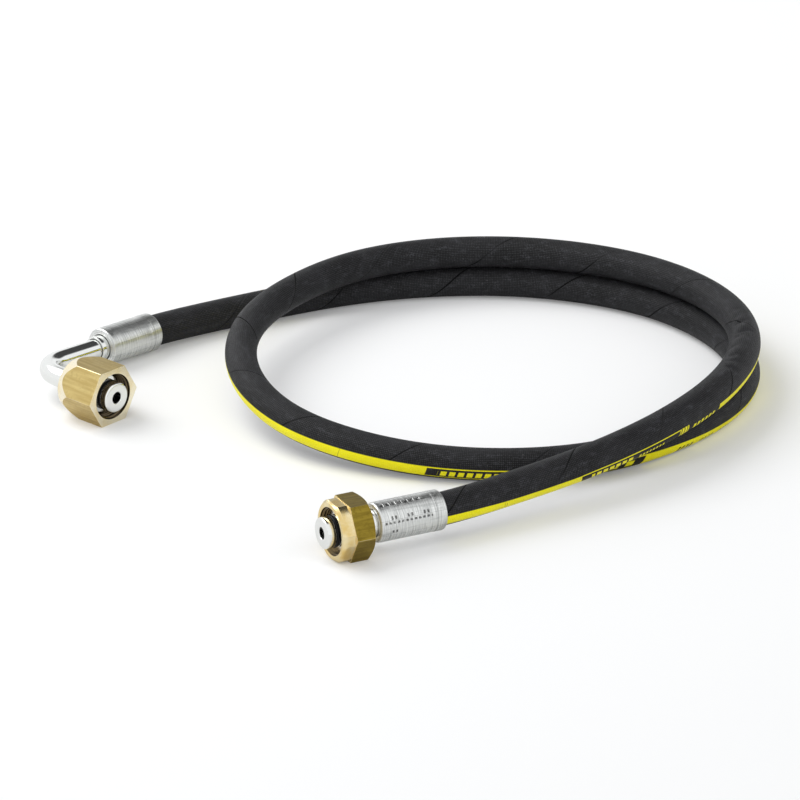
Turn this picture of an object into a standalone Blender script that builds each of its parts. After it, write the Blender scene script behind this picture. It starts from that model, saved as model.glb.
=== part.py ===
"""Pressure washer hose: a high-pressure rubber hose with a straight and a right-angle end.

The hose lies on the floor as it was put down, in two stacked turns. Each end is a turned steel
nipple that the hose is pushed onto, a steel ferrule crimped round both, an O-ring in a groove
behind the nose, and a loose brass union nut that turns on the nipple.

Frame: metres, +Z up. The origin is on the floor under the middle of the straight end's hexagon,
and +X runs along the straight end, from its nose towards the hose.
"""
import math

import bmesh
import bpy
import numpy as np
from mathutils import Matrix, Vector

MM = 0.001

# Hose
HOSE_R = 7.6 * MM
HOSE_BORE_R = 4.1 * MM
HOSE_SIDES = 12
HOSE_PATH_STEP = 18.0 * MM

# Clearances
SEAT_GAP = 0.3 * MM
RUNNING_GAP = 0.5 * MM

# Nose of both ends, measured back from its face
NOSE_R = 7.25 * MM
NOSE_CHAMFER = 0.8 * MM
NOSE_LENGTH = 4.0 * MM
BORE_R = 2.75 * MM
BORE_CHAMFER = 0.3 * MM
O_RING_SECTION_R = 1.0 * MM
O_RING_PROUD = 0.2 * MM
NOSE_LAND = 1.2 * MM
FLANGE_CLEARANCE = 1.0 * MM
FLANGE_THICKNESS = 2.5 * MM
SOCKET_WALL = 0.9 * MM

# Hose tail of both ends
LIP_SEAT_LENGTH = 2.0 * MM
BARB_DEPTH = 0.35 * MM
BARB_PITCH = 3.6 * MM
BARB_COUNT = 6
BARB_LAND = 0.35
TAIL_LEAD = 1.5 * MM

# Crimped ferrule, the same on both ends, measured from its face on the nut's side
FERRULE_LENGTH = 33.1 * MM
FERRULE_WALL = 1.3 * MM
FERRULE_BAND_RISE = 0.1 * MM
FERRULE_BAND_LENGTH = 5.0 * MM
FERRULE_BAND_STEP = 0.5 * MM
FERRULE_LIP = 3.0 * MM
FERRULE_FACE_ROUND = 1.2 * MM
FERRULE_MOUTH_ROUND = 0.8 * MM
CRIMP_DIES = 8
CRIMP_DEPTH = 0.14 * MM

# Union nuts
NUT_ACROSS_FLATS = 27.0 * MM
THREAD_BORE_R = 10.2 * MM
STRAIGHT_NOSE_PROUD = 4.5 * MM
STRAIGHT_COLLAR_RISE = 0.75 * MM
STRAIGHT_COLLAR_LENGTH = 6.0 * MM
STRAIGHT_COLLAR_BEVEL = 1.2 * MM
STRAIGHT_HEX_LENGTH = 10.2 * MM
STRAIGHT_REAR_WALL = 3.2 * MM
STRAIGHT_MOUTH_CHAMFER = 0.7 * MM
STRAIGHT_REAR_CHAMFER = 1.6 * MM
STRAIGHT_REAR_FACE_INSET = 0.7 * MM
ELBOW_NOSE_PROUD = 2.5 * MM
ELBOW_NUT_LENGTH = 25.0 * MM
ELBOW_REAR_WALL = 9.0 * MM
ELBOW_MOUTH_CHAMFER = 1.8 * MM
ELBOW_MOUTH_DEPTH = 1.5 * MM
ELBOW_CONE_LENGTH = 9.8 * MM
ELBOW_REAR_FACE_INSET = 1.2 * MM
ELBOW_REAR_ROUND = 0.8 * MM
NUT_FRONT_CHAMFER = 0.5 * MM

# Straight end: from the back of the hexagon to the ferrule
STRAIGHT_NECK_SHOWN = 4.6 * MM

# Right-angle end
TUBE_R = 5.0 * MM
TUBE_BORE_R = 2.75 * MM
BEND_R = 15.0 * MM
BEND_STEPS = 12
NOSE_REACH = 53.8 * MM
LEG_REACH = 75.6 * MM
SOCKET_DEPTH = 7.0 * MM
COLLAR_SHOWN = 4.0 * MM
ELBOW_CORNER_XY = (-53.3 * MM, 231.3 * MM)
ELBOW_LEG_HEADING = math.radians(20.9)

# Facets
TURNED_STEPS = 36
FERRULE_STEPS = 40
O_RING_STEPS = 28
O_RING_SECTION_STEPS = 10
TUBE_SIDES = 14
SHARP_ANGLE = math.radians(32)

# The hose's route over the floor, from the right-angle end to the straight end (mm)
ROUTE_MM = [
    (54.5, 266.0, 7.8),
    (93.0, 268.5, 7.6),
    (131.5, 267.5, 7.6),
    (168.5, 259.7, 7.6),
    (203.8, 243.6, 7.6),
    (233.0, 219.0, 7.6),
    (254.2, 187.2, 7.6),
    (263.5, 150.0, 7.6),
    (260.5, 112.0, 7.6),
    (243.5, 77.5, 7.6),
    (215.0, 52.5, 7.6),
    (180.0, 37.0, 7.6),
    (142.0, 31.5, 7.6),
    (105.0, 40.0, 7.6),
    (72.0, 59.7, 8.0),
    (44.5, 86.2, 10.5),
    (26.3, 119.0, 14.4),
    (23.7, 156.6, 18.6),
    (35.8, 193.0, 21.9),
    (59.5, 223.5, 23.0),
    (90.5, 245.7, 23.0),
    (126.5, 259.2, 23.0),
    (164.5, 259.0, 23.0),
    (200.2, 246.1, 23.0),
    (230.9, 222.8, 23.0),
    (253.2, 192.1, 23.0),
    (264.4, 156.0, 23.0),
    (262.5, 117.5, 23.0),
    (247.5, 83.2, 23.0),
    (222.0, 54.2, 23.0),
    (191.0, 32.2, 22.3),
    (155.5, 17.0, 20.2),
    (118.5, 8.5, 17.3),
    (80.5, 3.5, 14.9),
]

# Sizes that follow from the ones above
O_RING_R = NOSE_R + O_RING_PROUD - O_RING_SECTION_R
GROOVE_R = O_RING_R - O_RING_SECTION_R - SEAT_GAP
GROOVE_WIDTH = 2 * (O_RING_SECTION_R + SEAT_GAP)
FLANGE_START = NOSE_LENGTH + GROOVE_WIDTH + NOSE_LAND
FLANGE_END = FLANGE_START + FLANGE_THICKNESS
FLANGE_R = THREAD_BORE_R - FLANGE_CLEARANCE
SOCKET_R = TUBE_R + SEAT_GAP
NECK_R = SOCKET_R + SOCKET_WALL
NUT_HOLE_R = NECK_R + RUNNING_GAP
LIP_HOLE_R = NECK_R + SEAT_GAP
FERRULE_BORE_R = HOSE_R + SEAT_GAP
FERRULE_R = FERRULE_BORE_R + FERRULE_WALL
FERRULE_BAND_R = FERRULE_R + FERRULE_BAND_RISE
LIP_SEAT_R = FERRULE_BORE_R - RUNNING_GAP
# The hose's bore has flat sides, so the barbs are sized to the middle of a side
TAIL_R = HOSE_BORE_R * math.cos(math.pi / HOSE_SIDES) - SEAT_GAP
AXIS_HEIGHT = NUT_ACROSS_FLATS / 2
CORNER_R = NUT_ACROSS_FLATS / math.sqrt(3)
STRAIGHT_COLLAR_R = AXIS_HEIGHT + STRAIGHT_COLLAR_RISE
STRAIGHT_MOUTH_R = THREAD_BORE_R + STRAIGHT_MOUTH_CHAMFER
STRAIGHT_REAR_FACE_R = AXIS_HEIGHT - STRAIGHT_REAR_FACE_INSET
ELBOW_MOUTH_R = THREAD_BORE_R + ELBOW_MOUTH_CHAMFER
ELBOW_REAR_FACE_R = AXIS_HEIGHT - ELBOW_REAR_FACE_INSET
HOSE_STOP = FERRULE_LIP + SEAT_GAP + LIP_SEAT_LENGTH + SEAT_GAP
STRAIGHT_HEX_FRONT = STRAIGHT_NOSE_PROUD + STRAIGHT_COLLAR_LENGTH
STRAIGHT_NUT_BACK = STRAIGHT_HEX_FRONT + STRAIGHT_HEX_LENGTH
STRAIGHT_FERRULE_FACE = STRAIGHT_NUT_BACK + STRAIGHT_NECK_SHOWN
ELBOW_NUT_BACK = ELBOW_NOSE_PROUD + ELBOW_NUT_LENGTH
ELBOW_FERRULE_FACE = LEG_REACH - FERRULE_LENGTH

# Places: each end's frame has its local +Z running back, from the nose towards the hose
STRAIGHT_NOSE = Vector((-(STRAIGHT_HEX_FRONT + STRAIGHT_HEX_LENGTH / 2), 0.0, AXIS_HEIGHT))
STRAIGHT_BACK = Vector((1.0, 0.0, 0.0))
ELBOW_CORNER = Vector((ELBOW_CORNER_XY[0], ELBOW_CORNER_XY[1], AXIS_HEIGHT))
ELBOW_BACK = Vector((-math.sin(ELBOW_LEG_HEADING), math.cos(ELBOW_LEG_HEADING), 0.0))
ELBOW_NOSE = ELBOW_CORNER - ELBOW_BACK * NOSE_REACH
# The leg dips until the mouth of its ferrule touches the floor
LEG_DIP = math.asin((AXIS_HEIGHT - FERRULE_BAND_R) / LEG_REACH)
LEG = Vector((
    math.cos(ELBOW_LEG_HEADING) * math.cos(LEG_DIP),
    math.sin(ELBOW_LEG_HEADING) * math.cos(LEG_DIP),
    -math.sin(LEG_DIP),
))


def clear_scene():
    """Remove what the file held before."""
    for obj in list(bpy.data.objects):
        bpy.data.objects.remove(obj, do_unlink=True)


def material(name, colour, roughness, metallic):
    """A plain Principled BSDF."""
    made = bpy.data.materials.new(name)
    made.use_nodes = True
    shader = made.node_tree.nodes["Principled BSDF"]
    shader.inputs["Base Color"].default_value = (*colour, 1.0)
    shader.inputs["Roughness"].default_value = roughness
    shader.inputs["Metallic"].default_value = metallic
    return made


def end_frame(origin, back):
    """The matrix of a frame at origin whose +Z runs along back and whose +Y leans upwards."""
    z_axis = back.normalized()
    x_axis = Vector((0.0, 0.0, 1.0)).cross(z_axis).normalized()
    y_axis = z_axis.cross(x_axis)
    turn = Matrix((x_axis, y_axis, z_axis)).transposed().to_4x4()
    return Matrix.Translation(origin) @ turn


def add_object(name, data, frame, finish):
    """Put a mesh or curve in the scene at a frame."""
    data.materials.append(finish)
    obj = bpy.data.objects.new(name, data)
    obj.matrix_world = frame
    bpy.context.scene.collection.objects.link(obj)
    return obj


def turned_mesh(name, outline, steps, shape=None):
    """Spin a closed outline of (distance, radius) points about Z into a ring-like solid."""
    bm = bmesh.new()
    verts = [bm.verts.new((radius, 0.0, distance)) for distance, radius in outline]
    edges = [bm.edges.new((verts[i - 1], verts[i])) for i in range(len(verts))]
    bmesh.ops.spin(
        bm, geom=verts + edges, axis=(0, 0, 1), cent=(0, 0, 0),
        angle=math.tau, steps=steps, use_merge=True, use_duplicate=False,
    )
    if shape:
        for vert in bm.verts:
            shape(vert)
    bmesh.ops.recalc_face_normals(bm, faces=bm.faces)
    mesh = bpy.data.meshes.new(name)
    bm.to_mesh(mesh)
    bm.free()
    mesh.shade_smooth()
    mesh.set_sharp_from_angle(angle=SHARP_ANGLE)
    return mesh


def nose_outline():
    """Outside of the nose, from its face to the front of the neck."""
    groove_back = NOSE_LENGTH + GROOVE_WIDTH
    return [
        (0.0, BORE_R + BORE_CHAMFER),
        (0.0, NOSE_R - NOSE_CHAMFER),
        (NOSE_CHAMFER, NOSE_R),
        (NOSE_LENGTH, NOSE_R),
        (NOSE_LENGTH, GROOVE_R),
        (groove_back, GROOVE_R),
        (groove_back, NOSE_R),
        (FLANGE_START, NOSE_R),
        (FLANGE_START, FLANGE_R),
        (FLANGE_END, FLANGE_R),
        (FLANGE_END, NECK_R),
    ]


def tail_outline(ferrule_face):
    """Outside of the hose tail: neck through the ferrule's lip, seat behind it, then barbs."""
    seat_front = ferrule_face + FERRULE_LIP + SEAT_GAP
    seat_back = seat_front + LIP_SEAT_LENGTH
    outline = [
        (seat_front, NECK_R),
        (seat_front, LIP_SEAT_R),
        (seat_back, LIP_SEAT_R),
        (seat_back, TAIL_R - BARB_DEPTH),
    ]
    first_barb = seat_back + TAIL_LEAD
    for number in range(BARB_COUNT):
        crest = first_barb + number * BARB_PITCH
        outline.append((crest, TAIL_R - BARB_DEPTH))
        outline.append((crest, TAIL_R))
        outline.append((crest + BARB_PITCH * BARB_LAND, TAIL_R))
    tail_end = first_barb + BARB_COUNT * BARB_PITCH
    outline.append((tail_end, TAIL_R - BARB_DEPTH))
    outline.append((tail_end, BORE_R))
    return outline


def ferrule_outline():
    """Section of the crimped ferrule: lip, bore, mouth, raised end band and crimped body."""
    band_start = FERRULE_LENGTH - FERRULE_BAND_LENGTH
    return [
        (0.0, LIP_HOLE_R),
        (0.0, FERRULE_R - FERRULE_FACE_ROUND),
        (FERRULE_FACE_ROUND * 0.3, FERRULE_R - FERRULE_FACE_ROUND * 0.3),
        (FERRULE_FACE_ROUND, FERRULE_R),
        (band_start - FERRULE_BAND_STEP, FERRULE_R),
        (band_start, FERRULE_BAND_R),
        (FERRULE_LENGTH - FERRULE_MOUTH_ROUND, FERRULE_BAND_R),
        (FERRULE_LENGTH - FERRULE_MOUTH_ROUND * 0.3, FERRULE_BAND_R - FERRULE_MOUTH_ROUND * 0.3),
        (FERRULE_LENGTH, FERRULE_BAND_R - FERRULE_MOUTH_ROUND),
        (FERRULE_LENGTH, FERRULE_BORE_R),
        (FERRULE_LIP, FERRULE_BORE_R),
        (FERRULE_LIP, LIP_HOLE_R),
    ]


def crimp(vert):
    """Press the crimped body in a little between the edges of the dies."""
    radius = math.hypot(vert.co.x, vert.co.y)
    if abs(radius - FERRULE_R) > FERRULE_BAND_RISE / 2:
        return
    turn = math.atan2(vert.co.y, vert.co.x)
    press = CRIMP_DEPTH * (1 - math.cos(CRIMP_DIES * turn)) / 2
    vert.co.x *= (radius - press) / radius
    vert.co.y *= (radius - press) / radius


def add_hexagon_cut(nut, front, back):
    """Mill the turned nut to a hexagon that stands on one of its flats."""
    bm = bmesh.new()
    bmesh.ops.create_cone(
        bm, cap_ends=True, segments=6, radius1=CORNER_R, radius2=CORNER_R,
        depth=(back - front) * 2,
    )
    # create_cone sets a corner on +Y; a twelfth of a turn sets a flat there
    bmesh.ops.rotate(bm, verts=bm.verts, matrix=Matrix.Rotation(math.tau / 12, 3, "Z"))
    bmesh.ops.translate(bm, verts=bm.verts, vec=(0, 0, (front + back) / 2))
    mesh = bpy.data.meshes.new(nut.name + "_bar")
    bm.to_mesh(mesh)
    bm.free()
    bar = bpy.data.objects.new(nut.name + "_bar", mesh)
    bar.matrix_world = nut.matrix_world
    bar.hide_render = True
    bar.display_type = "WIRE"
    bpy.context.scene.collection.objects.link(bar)
    mill = nut.modifiers.new("hexagon", "BOOLEAN")
    mill.operation = "INTERSECT"
    mill.solver = "EXACT"
    mill.object = bar


def straight_nut_outline():
    """Section of the straight end's nut: bevelled collar, hexagon, thread bore, rear wall."""
    front = STRAIGHT_NOSE_PROUD
    back = STRAIGHT_NUT_BACK
    blank_r = CORNER_R + SEAT_GAP
    return [
        (front, STRAIGHT_MOUTH_R),
        (front, STRAIGHT_COLLAR_R - STRAIGHT_COLLAR_BEVEL),
        (front + STRAIGHT_COLLAR_BEVEL, STRAIGHT_COLLAR_R),
        (STRAIGHT_HEX_FRONT, STRAIGHT_COLLAR_R),
        (STRAIGHT_HEX_FRONT, blank_r),
        (back - STRAIGHT_REAR_CHAMFER, blank_r),
        (back, STRAIGHT_REAR_FACE_R),
        (back, NUT_HOLE_R),
        (back - STRAIGHT_REAR_WALL, NUT_HOLE_R),
        (back - STRAIGHT_REAR_WALL, THREAD_BORE_R),
        (front + STRAIGHT_MOUTH_CHAMFER, THREAD_BORE_R),
    ]


def elbow_nut_outline():
    """Section of the right-angle end's nut: hexagon, long rear cone, thread bore, rear wall."""
    front = ELBOW_NOSE_PROUD
    back = ELBOW_NUT_BACK
    blank_r = CORNER_R + SEAT_GAP
    return [
        (front, ELBOW_MOUTH_R),
        (front, blank_r - NUT_FRONT_CHAMFER - SEAT_GAP),
        (front + NUT_FRONT_CHAMFER, blank_r),
        (back - ELBOW_CONE_LENGTH, blank_r),
        (back - ELBOW_REAR_ROUND, ELBOW_REAR_FACE_R + ELBOW_REAR_ROUND * 0.4),
        (back, ELBOW_REAR_FACE_R - ELBOW_REAR_ROUND * 0.6),
        (back, NUT_HOLE_R),
        (back - ELBOW_REAR_WALL, NUT_HOLE_R),
        (back - ELBOW_REAR_WALL, THREAD_BORE_R),
        (front + ELBOW_MOUTH_DEPTH, THREAD_BORE_R),
    ]


def smooth_path(points, step):
    """Points about a step apart on the natural cubic spline through the given points."""
    points = np.array(points, dtype=float)
    reach = np.linalg.norm(np.diff(points, axis=0), axis=1)
    knots = np.concatenate(([0.0], np.cumsum(reach)))
    count = len(points)
    system = np.eye(count)
    bend = np.zeros_like(points)
    for i in range(1, count - 1):
        system[i, i - 1] = reach[i - 1]
        system[i, i] = 2 * (reach[i - 1] + reach[i])
        system[i, i + 1] = reach[i]
        after = (points[i + 1] - points[i]) / reach[i]
        before = (points[i] - points[i - 1]) / reach[i - 1]
        bend[i] = 6 * (after - before)
    second = np.linalg.solve(system, bend)
    places = np.linspace(0.0, knots[-1], max(2, round(knots[-1] / step) + 1))
    span = np.clip(np.searchsorted(knots, places, side="right") - 1, 0, count - 2)
    width = reach[span][:, None]
    right = (places - knots[span])[:, None] / width
    left = 1 - right
    return (
        left * points[span] + right * points[span + 1]
        + ((left**3 - left) * second[span] + (right**3 - right) * second[span + 1]) * width**2 / 6
    )


def tube_object(name, path, outer_r, bore_r, sides, finish):
    """A round tube along a path: a bevelled poly curve given its wall by Solidify."""
    curve = bpy.data.curves.new(name, "CURVE")
    curve.dimensions = "3D"
    curve.bevel_depth = outer_r
    curve.bevel_resolution = (sides - 4) // 2
    curve.use_fill_caps = False
    spline = curve.splines.new("POLY")
    spline.points.add(len(path) - 1)
    for point, place in zip(spline.points, path):
        point.co = (*place, 1.0)
    obj = add_object(name, curve, Matrix.Identity(4), finish)
    wall = obj.modifiers.new("wall", "SOLIDIFY")
    wall.thickness = outer_r - bore_r
    wall.offset = -1.0
    return obj


def bent_tube_path():
    """The right-angle tube's centre line: nose socket, bend about the corner, collar socket."""
    front = ELBOW_CORNER - ELBOW_BACK * (NOSE_REACH - ELBOW_NUT_BACK + SOCKET_DEPTH)
    end = ELBOW_CORNER + LEG * (ELBOW_FERRULE_FACE - COLLAR_SHOWN + SOCKET_DEPTH)
    centre = ELBOW_CORNER + (LEG - ELBOW_BACK) * BEND_R
    path = [front]
    for step in range(BEND_STEPS + 1):
        angle = math.pi / 2 * step / BEND_STEPS
        path.append(centre - LEG * (BEND_R * math.cos(angle)) + ELBOW_BACK * (BEND_R * math.sin(angle)))
    path.append(end)
    return path


def hose_path():
    """Hose centre line: straight out of each ferrule, and along the route between them."""
    leg_start = ELBOW_CORNER + LEG * (ELBOW_FERRULE_FACE + HOSE_STOP)
    leg_mouth = ELBOW_CORNER + LEG * LEG_REACH
    straight_stop = STRAIGHT_NOSE + STRAIGHT_BACK * (STRAIGHT_FERRULE_FACE + HOSE_STOP)
    straight_mouth = STRAIGHT_NOSE + STRAIGHT_BACK * (STRAIGHT_FERRULE_FACE + FERRULE_LENGTH)
    route = [tuple(value * MM for value in point) for point in ROUTE_MM]
    ends_in = [tuple(leg_start), tuple(leg_mouth)]
    ends_out = [tuple(straight_mouth), tuple(straight_stop)]
    return smooth_path(ends_in + route + ends_out, HOSE_PATH_STEP)


def build_straight_end(steel, ferrule_steel, brass, seal):
    """The straight nipple, its O-ring, ferrule and union nut."""
    frame = end_frame(STRAIGHT_NOSE, STRAIGHT_BACK)
    outline = nose_outline() + tail_outline(STRAIGHT_FERRULE_FACE) + [(BORE_CHAMFER, BORE_R)]
    mesh = turned_mesh("nipple_straight", outline, TURNED_STEPS)
    add_object("nipple_straight", mesh, frame, steel)
    add_o_ring("o_ring_straight", frame, seal)
    add_ferrule("ferrule_straight", frame, STRAIGHT_FERRULE_FACE, ferrule_steel)
    mesh = turned_mesh("union_nut_straight", straight_nut_outline(), TURNED_STEPS)
    nut = add_object("union_nut_straight", mesh, frame, brass)
    add_hexagon_cut(nut, STRAIGHT_NOSE_PROUD, STRAIGHT_NUT_BACK)


def build_elbow_end(steel, ferrule_steel, brass, seal):
    """The right-angle end: nose, bent tube and hose tail brazed together, O-ring, ferrule, nut."""
    nose_frame = end_frame(ELBOW_NOSE, ELBOW_BACK)
    leg_frame = end_frame(ELBOW_CORNER, LEG)
    socket_floor = ELBOW_NUT_BACK - SOCKET_DEPTH - SEAT_GAP
    outline = nose_outline() + [
        (ELBOW_NUT_BACK, NECK_R),
        (ELBOW_NUT_BACK, SOCKET_R),
        (socket_floor, SOCKET_R),
        (socket_floor, BORE_R),
        (BORE_CHAMFER, BORE_R),
    ]
    mesh = turned_mesh("elbow_nose", outline, TURNED_STEPS)
    add_object("elbow_nose", mesh, nose_frame, steel)

    tube_object("elbow_tube", bent_tube_path(), TUBE_R, TUBE_BORE_R, TUBE_SIDES, steel)

    collar_front = ELBOW_FERRULE_FACE - COLLAR_SHOWN
    tail_floor = collar_front + SOCKET_DEPTH + SEAT_GAP
    outline = [(collar_front, SOCKET_R), (collar_front, NECK_R)]
    outline += tail_outline(ELBOW_FERRULE_FACE)
    outline += [(tail_floor, BORE_R), (tail_floor, SOCKET_R)]
    mesh = turned_mesh("elbow_tail", outline, TURNED_STEPS)
    add_object("elbow_tail", mesh, leg_frame, steel)

    add_o_ring("o_ring_elbow", nose_frame, seal)
    add_ferrule("ferrule_elbow", leg_frame, ELBOW_FERRULE_FACE, ferrule_steel)
    mesh = turned_mesh("union_nut_elbow", elbow_nut_outline(), TURNED_STEPS)
    nut = add_object("union_nut_elbow", mesh, nose_frame, brass)
    add_hexagon_cut(nut, ELBOW_NOSE_PROUD, ELBOW_NUT_BACK)


def add_o_ring(name, nose_frame, seal):
    """The O-ring in the groove behind the nose."""
    middle = NOSE_LENGTH + GROOVE_WIDTH / 2
    outline = []
    for step in range(O_RING_SECTION_STEPS):
        angle = math.tau * step / O_RING_SECTION_STEPS
        outline.append((
            middle + O_RING_SECTION_R * math.sin(angle),
            O_RING_R + O_RING_SECTION_R * math.cos(angle),
        ))
    add_object(name, turned_mesh(name, outline, O_RING_STEPS), nose_frame, seal)


def add_ferrule(name, frame, face, ferrule_steel):
    """A ferrule whose face is at a distance along the frame's +Z."""
    mesh = turned_mesh(name, ferrule_outline(), FERRULE_STEPS, shape=crimp)
    add_object(name, mesh, frame @ Matrix.Translation((0, 0, face)), ferrule_steel)


def build():
    """Model the hose and both its ends."""
    clear_scene()
    steel = material("plated_steel", (0.78, 0.79, 0.78), 0.18, 1.0)
    ferrule_steel = material("zinc_steel", (0.66, 0.67, 0.65), 0.38, 1.0)
    brass = material("brass", (0.80, 0.66, 0.33), 0.32, 1.0)
    seal = material("seal_rubber", (0.02, 0.02, 0.02), 0.45, 0.0)
    rubber = material("hose_rubber", (0.045, 0.045, 0.05), 0.6, 0.0)
    tube_object("hose", hose_path(), HOSE_R, HOSE_BORE_R, HOSE_SIDES, rubber)
    build_straight_end(steel, ferrule_steel, brass, seal)
    build_elbow_end(steel, ferrule_steel, brass, seal)


build()
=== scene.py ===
import math

import bpy
import numpy as np
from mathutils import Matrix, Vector


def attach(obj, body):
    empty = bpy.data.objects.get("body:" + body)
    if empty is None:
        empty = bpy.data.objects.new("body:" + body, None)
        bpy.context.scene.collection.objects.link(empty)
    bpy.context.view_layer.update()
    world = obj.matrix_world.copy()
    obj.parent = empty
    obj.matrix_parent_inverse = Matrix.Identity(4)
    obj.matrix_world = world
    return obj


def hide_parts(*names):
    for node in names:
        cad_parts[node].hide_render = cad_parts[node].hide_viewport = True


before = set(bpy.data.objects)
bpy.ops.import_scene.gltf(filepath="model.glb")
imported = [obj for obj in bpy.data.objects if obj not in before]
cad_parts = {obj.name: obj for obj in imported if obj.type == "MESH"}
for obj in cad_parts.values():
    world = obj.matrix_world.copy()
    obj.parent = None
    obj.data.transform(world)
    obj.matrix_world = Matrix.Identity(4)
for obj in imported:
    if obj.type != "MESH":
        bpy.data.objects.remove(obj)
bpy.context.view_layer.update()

# Sizes are in millimetres, and meshes are made in metres
MM = 0.001

# Hose. Its rings of points start on its underside, and its bore needs fewer of them
HOSE_R = 7.6
HOSE_BORE_R = 4.1
HOSE_RING_STEP = 1.25
HOSE_AROUND = 56
HOSE_RING_START = -140.0
RINGS_PER_BORE_RING = 8

# Steel noses, measured back from the nose's face
NOSE_R = 7.25
NOSE_ROUND = 1.0
NOSE_LENGTH = 4.0
GROOVE_R = 5.15
GROOVE_END = 6.6
FLANGE_START = 7.8
FLANGE_END = 10.3
FLANGE_R = 9.2
BORE_R = 2.75
BORE_BEVEL = 0.3
NECK_R = 6.2
SOCKET_R = 5.3

# O-rings
O_RING_MIDDLE = 5.3
O_RING_R = 6.45
O_RING_SECTION_R = 1.0

# Hose tails: the seat behind the ferrule's lip, and the barbs behind the seat
SEAT_GAP = 0.3
LIP_SEAT_R = 7.4
LIP_SEAT_LENGTH = 2.0
TAIL_R = 3.66
TAIL_ROOT_R = 3.31
BARB_START = 3.5
BARB_PITCH = 3.6
BARB_LAND = 1.26
BARB_COUNT = 6

# Crimped ferrule, measured from its face on the nut's side
FERRULE_LENGTH = 33.1
FERRULE_R = 9.2
FERRULE_BORE_R = 7.9
FERRULE_BAND_R = 9.3
FERRULE_BAND_LENGTH = 5.0
FERRULE_LIP = 3.0
LIP_HOLE_R = 6.5
FACE_ROUND = 1.2
MOUTH_ROUND = 0.8
BAND_SLOPE = 0.4
HOSE_STOP = 5.6

# How far the dies press the ferrule in, and the thin ridge that they leave between them
CRIMP_DIES = 8
CRIMP_LEAST = 0.03
CRIMP_MORE = 0.09
CRIMP_BAND = 0.03
RIDGE_RISE = 0.07
RIDGE_WIDTH = 0.02

# Where the press fades: its width behind the face, the margin and width in which it ends
# before the band, and the margin and width in which the band's own press begins
FACE_FADE = 1.5
BODY_FADE = (0.8, 0.6)
BAND_FADE = (0.3, 0.5)
OUTSIDE_DEPTH = 0.3

# Union nuts, measured back from the nose's face
FLATS_R = 13.5
CORNER_R = 15.52
THREAD_CREST_R = 10.2
THREAD_ROOT_R = 11.0
THREAD_PITCH = 1.5
THREAD_ROW_STEP = 0.15
THREAD_FRONT_FADE = 1.2
THREAD_BACK_FADE = 1.0
NUT_HOLE_R = 6.7
MOUTH_SLOPE = 0.5
MOUTH_BEVEL = 0.2
STRAIGHT_FRONT = 4.5
STRAIGHT_MOUTH = 0.9
STRAIGHT_COLLAR_R = 14.25
STRAIGHT_COLLAR_FLATS_R = 13.42
STRAIGHT_COLLAR_BEVEL = 1.2
UNDERCUT_LENGTH = 0.5
UNDERCUT_DEPTH = 0.3
STRAIGHT_HEX_FRONT = 10.5
STRAIGHT_REAR_R = 12.8
STRAIGHT_REAR_SLOPE = 0.55
STRAIGHT_REAR_WALL = 3.2
STRAIGHT_BACK_FACE = 20.7
STRAIGHT_THREAD = (STRAIGHT_FRONT + 1.5, STRAIGHT_BACK_FACE - 3.3)
ELBOW_FRONT = 2.5
ELBOW_MOUTH = 1.4
ELBOW_CONE_FRONT_R = 15.6
ELBOW_CONE_R = 12.3
ELBOW_CONE_LENGTH = 9.6
ELBOW_REAR_EDGE_R = 12.47
ELBOW_REAR_EDGE = 0.5
ELBOW_REAR_R = 11.9
ELBOW_REAR_WALL = 9.0
ELBOW_BACK_FACE = 27.5
ELBOW_THREAD = (ELBOW_FRONT + 2.0, ELBOW_BACK_FACE - 9.1)

# How near a point lies to a flat to show raw bar, and how the bore's shade fades towards its
# wall, and before the rear face
ON_FLAT = 0.02
SHADE_FADE = 0.15
SHADE_REAR = (0.4, 0.3)

# How far sharp edges are broken
EDGE_ROUND = 0.2
FERRULE_EDGE_ROUND = 0.15

# How many points go round each kind of piece, and along the tube's bend, and how far apart
# they are at most along a ferrule
NOSE_POINTS = 96
O_RING_POINTS = 72
O_RING_SECTION_POINTS = 20
FERRULE_POINTS = 192
FERRULE_POINT_GAP = 0.8
TUBE_POINTS = 64
BEND_POINTS = 33

# Places of the two ends
AXIS_HEIGHT = FLATS_R
STRAIGHT_NOSE = np.array((-15.6, 0.0, AXIS_HEIGHT))
STRAIGHT_BACK = np.array((1.0, 0.0, 0.0))
STRAIGHT_FERRULE_FACE = 25.3
ELBOW_CORNER = np.array((-53.3, 231.3, AXIS_HEIGHT))
ELBOW_HEADING = math.radians(20.9)
NOSE_REACH = 53.8
LEG_REACH = 75.6
BEND_R = 15.0
TUBE_R = 5.0
SOCKET_DEPTH = 7.0
COLLAR_SHOWN = 4.0
ELBOW_FERRULE_FACE = LEG_REACH - FERRULE_LENGTH
ELBOW_BACK = np.array((-math.sin(ELBOW_HEADING), math.cos(ELBOW_HEADING), 0.0))
ELBOW_NOSE = ELBOW_CORNER - ELBOW_BACK * NOSE_REACH
LEG_DIP = math.asin((AXIS_HEIGHT - FERRULE_BAND_R) / LEG_REACH)
LEG = np.array((
    math.cos(ELBOW_HEADING) * math.cos(LEG_DIP),
    math.sin(ELBOW_HEADING) * math.cos(LEG_DIP),
    -math.sin(LEG_DIP),
))

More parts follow.
